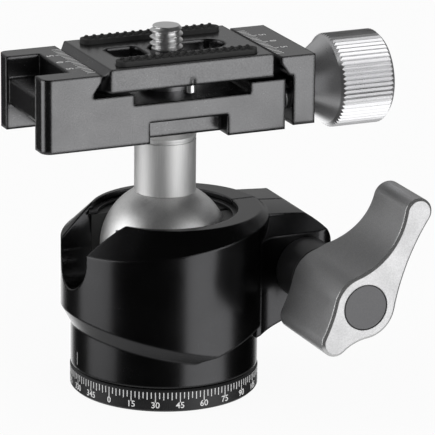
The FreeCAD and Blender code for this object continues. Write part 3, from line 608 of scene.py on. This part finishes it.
def lever_finish():
    """Blasted grey with a painted highlight that makes the front paler, and a polished chamfer
    round the front.
    """
    material, nodes, links, shader, where = start_finish("lever_grey_bright_chamfer")
    shader.inputs["Metallic"].default_value = 0.88
    fine = grain(nodes, links, where, 0.00020)
    wide = grain(nodes, links, where, 0.005, detail=2.0)
    facing = nodes.new("ShaderNodeSeparateXYZ")
    links.new(where.outputs["Normal"], facing.inputs["Vector"])
    chamfer = near(nodes, links, facing.outputs["Y"], -0.72, 0.16)
    # Painted highlight: front faces take a paler copy of the grey than the sides.
    front = near(nodes, links, facing.outputs["Y"], -1.0, 0.10)
    sides = tint(nodes, links, fine, (0.36, 0.36, 0.365), (0.50, 0.50, 0.505))
    pale = tint(nodes, links, fine, (0.52, 0.52, 0.525), (0.66, 0.66, 0.665))
    blasted = over(nodes, links, front, sides, pale)
    colour = over(nodes, links, chamfer, blasted, (0.72, 0.72, 0.72))
    links.new(colour, shader.inputs["Base Color"])
    rough = spread(nodes, links, wide, 0.42, 0.52)
    blend = nodes.new("ShaderNodeMix")
    blend.data_type = "FLOAT"
    links.new(chamfer, blend.inputs["Factor"])
    links.new(rough, blend.inputs["A"])
    blend.inputs["B"].default_value = 0.16
    links.new(blend.outputs["Result"], shader.inputs["Roughness"])
    normal = rounded_edges(nodes, links, 0.00025)[0]
    relief(nodes, links, shader, fine, 2.5e-6, normal)
    return material


lever_grey = lever_finish()
print("lever finish:", lever_grey.name)

# %% [markdown]
# ## Give every CAD part its finish
#
# A list of parts and finishes is easier to check than thirty separate lines,
# and a part that is missing from it stops the script.

# %% Finishes on the CAD parts
finish_of = {
    "base_ring": ring_black,
    "pan_axle": inner_steel,
    "pan_washer": washer_nylon,
    "wave_washer": inner_steel,
    "pan_ring_nut": inner_steel,
    "housing": housing_black,
    "ball_race": race_plastic,
    "race_circlip": collar_black,
    "lock_thread_bush": inner_steel,
    "lock_collar": collar_black,
    "lock_washer": inner_steel,
    "lock_spindle": inner_steel,
    "lock_knob": lever_grey,
    "knob_cap": cap_grey,
    "knob_screw": inner_steel,
    "ball": ball_silver,
    "neck": neck_silver,
    "neck_collar": neck_silver,
    "neck_bolt": inner_steel,
    "clamp_body": clamp_black,
    "clamp_jaw": clamp_black,
    "guide_pins": screw_steel,
    "jaw_springs": inner_steel,
    "clamp_screw": screw_steel,
    "clamp_washer": inner_steel,
    "clamp_knob": clamp_knob_grey,
    "plate": clamp_black,
    "rubber_pads": pad_rubber,
    "stop_screws": screw_steel,
    "camera_screw": screw_steel,
    "camera_washer": inner_steel,
}
for name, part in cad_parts.items():
    part.data.materials.clear()
    part.data.materials.append(finish_of[name])
print("parts with a finish:", len(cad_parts), "of", len(finish_of))

# %% [markdown]
# ## White and grey printing
#
# The scales on the base ring and on the jaws are printed in white, the index
# mark on the housing in a greyer tone. Paint of this kind is matt, a little
# uneven and stands off the metal by a few hundredths of a millimetre. The
# marks are real, very thin solids, so they keep their crisp edges however
# close one looks.

# %% White and grey paint
white_print = plastic_finish("white_scale_print", (0.74, 0.74, 0.74), (0.86, 0.86, 0.86),
                             0.55, 0.70, 0.0002, 1e-6, 0.00003)
grey_print = plastic_finish("grey_mark_print", (0.40, 0.40, 0.40), (0.55, 0.55, 0.55),
                            0.55, 0.70, 0.0002, 1e-6, 0.00003)
print("printing:", white_print.name, grey_print.name)

# %% [markdown]
# ## The scale's lines
#
# The ring is divided every 2.5 degrees. Every second line is longer, and every
# sixth one, at 15 degrees, is the longest and has a number below it. One bar
# with softened edges is modelled for each of the three lengths, then copied
# round the ring. An Array modifier could only repeat one length.

# %% Scale lines
ring_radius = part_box("base_ring")[1][0]
scale_top = 0.00395
zero_angle = -148.15
line_count = 144
line_step = 360 / line_count
line_width = 0.00017
line_thickness = 0.00006
line_softness = 0.00001
line_sink = 0.00001
line_lengths = {"long": 0.0020, "middle": 0.00150, "short": 0.00125}
print("ring radius", round(ring_radius / MM, 2), "mm")


def flat_bar(name, size, soft):
    """Thin bar at the origin with softened edges."""
    let_go()
    bpy.ops.mesh.primitive_cube_add(size=1.0, location=(0, 0, 0))
    bar = bpy.context.active_object
    bar.name = name
    bar.scale = size
    settle(bar)
    bevel = bar.modifiers.new("soft_edges", "BEVEL")
    bevel.width = soft
    bevel.segments = 1
    apply_all(bar)
    return bar


first = {}
for kind, length in line_lengths.items():
    first[kind] = flat_bar("line_" + kind, (line_thickness, line_width, length), line_softness)
lines = []
for step in range(line_count):
    kind = "long" if step % 6 == 0 else "middle" if step % 2 == 0 else "short"
    length = line_lengths[kind]
    turn = Matrix.Rotation(math.radians(zero_angle + line_step * step), 4, "Z")
    place = Matrix.Translation((ring_radius - line_sink, 0, scale_top - length / 2))
    lines.append(copied(first[kind], turn @ place))
for bar in first.values():
    bpy.data.objects.remove(bar)
scale_lines = one_piece(lines, "scale_lines")
scale_lines.data.materials.clear()
scale_lines.data.materials.append(white_print)
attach(scale_lines, "base")
print("scale lines:", line_count, "faces:", len(scale_lines.data.polygons))

# %% [markdown]
# ## The scale's numbers
#
# Each number is a text object, made a mesh, and then wrapped round the ring.
# A Curve modifier could do the wrapping too. Here the rule is so simple that
# it is written down: a distance along the flat text becomes an angle round
# the ring, and the text's thickness becomes distance from the axis. Numbers
# grow to the right as one looks at the ring.


# %% Numbers round the ring
number_height = 0.00125
number_middle = 0.00134
number_step = 15
figure_share = 0.73
text_thickness = 0.00003
text_boldness = 0.00002


def flat_number(words, height):
    """Text as a thin mesh, centred on the origin."""
    let_go()
    bpy.ops.object.text_add(location=(0, 0, 0))
    text = bpy.context.active_object
    text.data.body = words
    text.data.size = height / figure_share
    text.data.align_x = "CENTER"
    text.data.align_y = "CENTER"
    text.data.extrude = text_thickness
    text.data.offset = text_boldness
    text.data.resolution_u = 3
    bpy.ops.object.convert(target="MESH")
    return bpy.context.active_object


def wrap_round(piece, radius, angle, height):
    """Bend a flat text round an upright cylinder."""
    for point in piece.data.vertices:
        x, y, z = point.co
        around = angle + x / radius
        reach = radius + z
        point.co = (reach * math.cos(around), reach * math.sin(around), height + y)


numbers = []
for degrees in range(0, 360, number_step):
    label = flat_number(str(degrees), number_height)
    wrap_round(label, ring_radius, math.radians(zero_angle + degrees), number_middle)
    numbers.append(label)
scale_numbers = one_piece(numbers, "scale_numbers")
scale_numbers.data.materials.clear()
scale_numbers.data.materials.append(white_print)
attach(scale_numbers, "base")
print("numbers on the ring:", len(numbers))

# %% [markdown]
# ## The index mark
#
# A short grey line on the housing's skirt, above the scale, shows where to
# read it. It belongs to the housing, so it travels with the housing when the
# head pans, while the scale stays still.

# %% Index mark
skirt_radius = 0.0181
mark_width = 0.00020
mark_length = 0.0025
mark_middle = 0.00695
mark = flat_bar("index_mark", (line_thickness, mark_width, mark_length), line_softness)
mark.data.transform(Matrix.Translation((-skirt_radius, 0, mark_middle)))
mark.data.materials.clear()
mark.data.materials.append(grey_print)
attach(mark, "turning_body")
print("index mark at", [round(value / MM, 2) for value in mark.data.vertices[0].co], "mm")

# %% [markdown]
# ## The camera screw's thread
#
# The CAD screw is a smooth pin as thick as the thread's crests. A quarter-inch
# camera thread climbs 1.27 mm per turn, and its flanks catch the light as a
# stack of slanting lines. The screw is raised as one would by hand: a disc for
# the head, extruded upwards ring by ring. The rings of the threaded part are
# then pulled in by how far along its turn each point is, which gives a true
# helix. A stack of separate discs would look similar from afar, but its lines
# would not climb.

# %% Raise the screw ring by ring
screw_low, screw_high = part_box("camera_screw")
screw_x = (screw_low[0] + screw_high[0]) / 2
screw_y = (screw_low[1] + screw_high[1]) / 2
head_radius = (screw_high[0] - screw_low[0]) / 2
crest_radius = 0.003175
root_radius = 0.00252
waist_radius = 0.0028
thread_gap = 0.00005
thread_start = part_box("plate")[1][2] + thread_gap
thread_end = screw_high[2]
head_top = screw_low[2] + 0.0013
head_edge = 0.0002
flat_step = 0.000001
pitch = 0.00127


def raise_to(level, state):
    """Extrude the top face straight up to a height."""
    rise = level - state["z"]
    bpy.ops.mesh.extrude_region_move(TRANSFORM_OT_translate={"value": (0, 0, rise)})
    state["z"] = level


def widen_to(radius, state):
    """Scale the top face to a radius."""
    factor = radius / state["r"]
    bpy.ops.transform.resize(value=(factor, factor, 1),
                             center_override=(screw_x, screw_y, state["z"]))
    state["r"] = radius


let_go()
bpy.ops.mesh.primitive_circle_add(vertices=80, radius=head_radius - head_edge, fill_type="NGON",
                                  location=(screw_x, screw_y, screw_low[2]))
stud = bpy.context.active_object
settle(stud)
bpy.ops.object.mode_set(mode="EDIT")
bpy.ops.mesh.select_all(action="SELECT")
state = {"z": screw_low[2], "r": head_radius - head_edge}
raise_to(screw_low[2] + head_edge, state)
widen_to(head_radius, state)
raise_to(head_top - head_edge, state)
raise_to(head_top, state)
widen_to(head_radius - head_edge, state)
raise_to(head_top + flat_step, state)
widen_to(waist_radius, state)
raise_to(thread_start, state)
rings = 60
for ring in range(rings):
    raise_to(thread_start + (thread_end - thread_start) * (ring + 1) / rings, state)
    if ring == 0:
        widen_to(crest_radius, state)
bpy.ops.object.mode_set(mode="OBJECT")
print("screw rings:", rings, "points:", len(stud.data.vertices))

# %% Pull the rings into a helix
chamfer_height = 0.0008
chamfer_slope = 0.85
crest_share = 0.12
flank_share = 0.74
plain_height = 0.00005
for point in stud.data.vertices:
    if point.co.z < thread_start + plain_height:
        continue
    x, y = point.co.x - screw_x, point.co.y - screw_y
    along = (point.co.z / pitch - math.atan2(y, x) / (2 * math.pi)) % 1.0
    rise = 1 - abs(2 * along - 1)
    groove = min(1.0, max(0.0, (rise - crest_share) / flank_share))
    radius = crest_radius - (crest_radius - root_radius) * groove
    left = thread_end - point.co.z
    radius = min(radius, crest_radius - max(0.0, chamfer_height - left) * chamfer_slope)
    scale = radius / math.hypot(x, y)
    point.co.x = screw_x + x * scale
    point.co.y = screw_y + y * scale
outward(stud)
smooth_by(stud, 25)
stud.name = "threaded_camera_screw"
stud.data.name = "threaded_camera_screw"
stud.data.materials.clear()
stud.data.materials.append(screw_steel)
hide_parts("camera_screw")
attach(stud, "camera_screw")
print("turns of the thread:", round((thread_end - thread_start) / pitch, 1))

# %% [markdown]
# ## Grip pattern on the rubber pads
#
# The two long pads on the plate are moulded with rows of small raised
# diamonds, which keep the camera from turning. A bump pattern would look flat
# from the side, where the pads' upper edge is seen against the plate. One
# flat-topped diamond is modelled and repeated with two Array modifiers, and a
# third row is set between the first two.

# %% Diamonds
pads_low, pads_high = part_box("rubber_pads")
pad_width = 0.0032
pad_end = 0.0013
diamond_pitch = 0.00160
diamond_height = 0.00042
diamond_foot = 0.00060
diamond_top = 0.00030
diamond_sink = 0.00002


def diamond_rows(across, along, count, rows):
    """Rows of small flat-topped diamonds on the pads' top."""
    let_go()
    middle = pads_high[2] + diamond_height / 2 - diamond_sink
    bpy.ops.mesh.primitive_cone_add(vertices=4, radius1=diamond_foot, radius2=diamond_top,
                                    depth=diamond_height, location=(along, across, middle))
    diamond = bpy.context.active_object
    settle(diamond)
    for direction, repeats in (((diamond_pitch, 0, 0), count), ((0, diamond_pitch, 0), rows)):
        array = diamond.modifiers.new("repeat", "ARRAY")
        array.count = repeats
        array.use_relative_offset = False
        array.use_constant_offset = True
        array.constant_offset_displace = direction
    apply_all(diamond)
    return diamond


patches = []
for side_y in (pads_low[1] + pad_width / 2, pads_high[1] - pad_width / 2):
    start_x = pads_low[0] + pad_end
    length = pads_high[0] - pads_low[0] - 2 * pad_end
    count = int(length / diamond_pitch) + 1
    start_x += (length - (count - 1) * diamond_pitch) / 2
    patches.append(diamond_rows(side_y - diamond_pitch / 2, start_x, count, 2))
    patches.append(diamond_rows(side_y, start_x + diamond_pitch / 2, count - 1, 1))
grip = one_piece(patches, "pad_grip_diamonds")
grip.data.materials.clear()
grip.data.materials.append(pad_rubber)
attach(grip, "plate")
print("diamonds' faces:", len(grip.data.polygons))

# %% [markdown]
# ## The fine scale on the clamp's jaws
#
# Along the inner edge of both jaws runs a short millimetre scale, to put a
# plate back where it was. Its lines start at the jaw's edge, and the numbers
# stand behind them. They lie on tops that face away from the two large lamps,
# so they look fainter than the print on the ring.

# %% Jaw scales
jaw_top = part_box("clamp_body")[1][2]
fixed_jaw_edge = -0.0179
moving_jaw_edge = 0.0187
long_line = 0.0024
short_line = 0.0016
lines_each_way = 9
long_every = 5
jaw_line_width = 0.00020
jaw_line_thickness = 0.00004
jaw_line_softness = 0.000006
jaw_line_inset = 0.0002
jaw_number_inset = 0.0036
jaw_number_height = 0.0014


def jaw_scale(name, body, edge_x, outwards):
    """Millimetre lines and numbers along one jaw's inner edge."""
    parts = []
    for step in range(-lines_each_way, lines_each_way + 1):
        length = long_line if step % long_every == 0 else short_line
        bar = flat_bar("jaw_line", (length, jaw_line_width, jaw_line_thickness), jaw_line_softness)
        centre = edge_x + outwards * (jaw_line_inset + length / 2)
        bar.data.transform(Matrix.Translation((centre, step * MM, jaw_top)))
        parts.append(bar)
    for words, y in (("5", -5 * MM), ("0", 0.0), ("5", 5 * MM)):
        label = flat_number(words, jaw_number_height)
        turn = Matrix.Rotation(math.radians(90 if outwards < 0 else -90), 4, "Z")
        place = Matrix.Translation((edge_x + outwards * jaw_number_inset, y, jaw_top))
        label.data.transform(place @ turn)
        parts.append(label)
    piece = one_piece(parts, name)
    piece.data.materials.clear()
    piece.data.materials.append(white_print)
    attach(piece, body)
    return piece


fixed_scale = jaw_scale("fixed_jaw_scale", "clamp", fixed_jaw_edge, -1)
moving_scale = jaw_scale("moving_jaw_scale", "jaw", moving_jaw_edge, 1)
print("jaw scales:", fixed_scale.name, moving_scale.name)

# %% [markdown]
# ## Colours as written
#
# Everything added here must stay inside the CAD model's box, because the box
# is the object's real size. The last cell shows colours as written and
# deselects everything.

# %% Colours as written and end
bpy.context.scene.view_settings.view_transform = "Standard"
let_go()
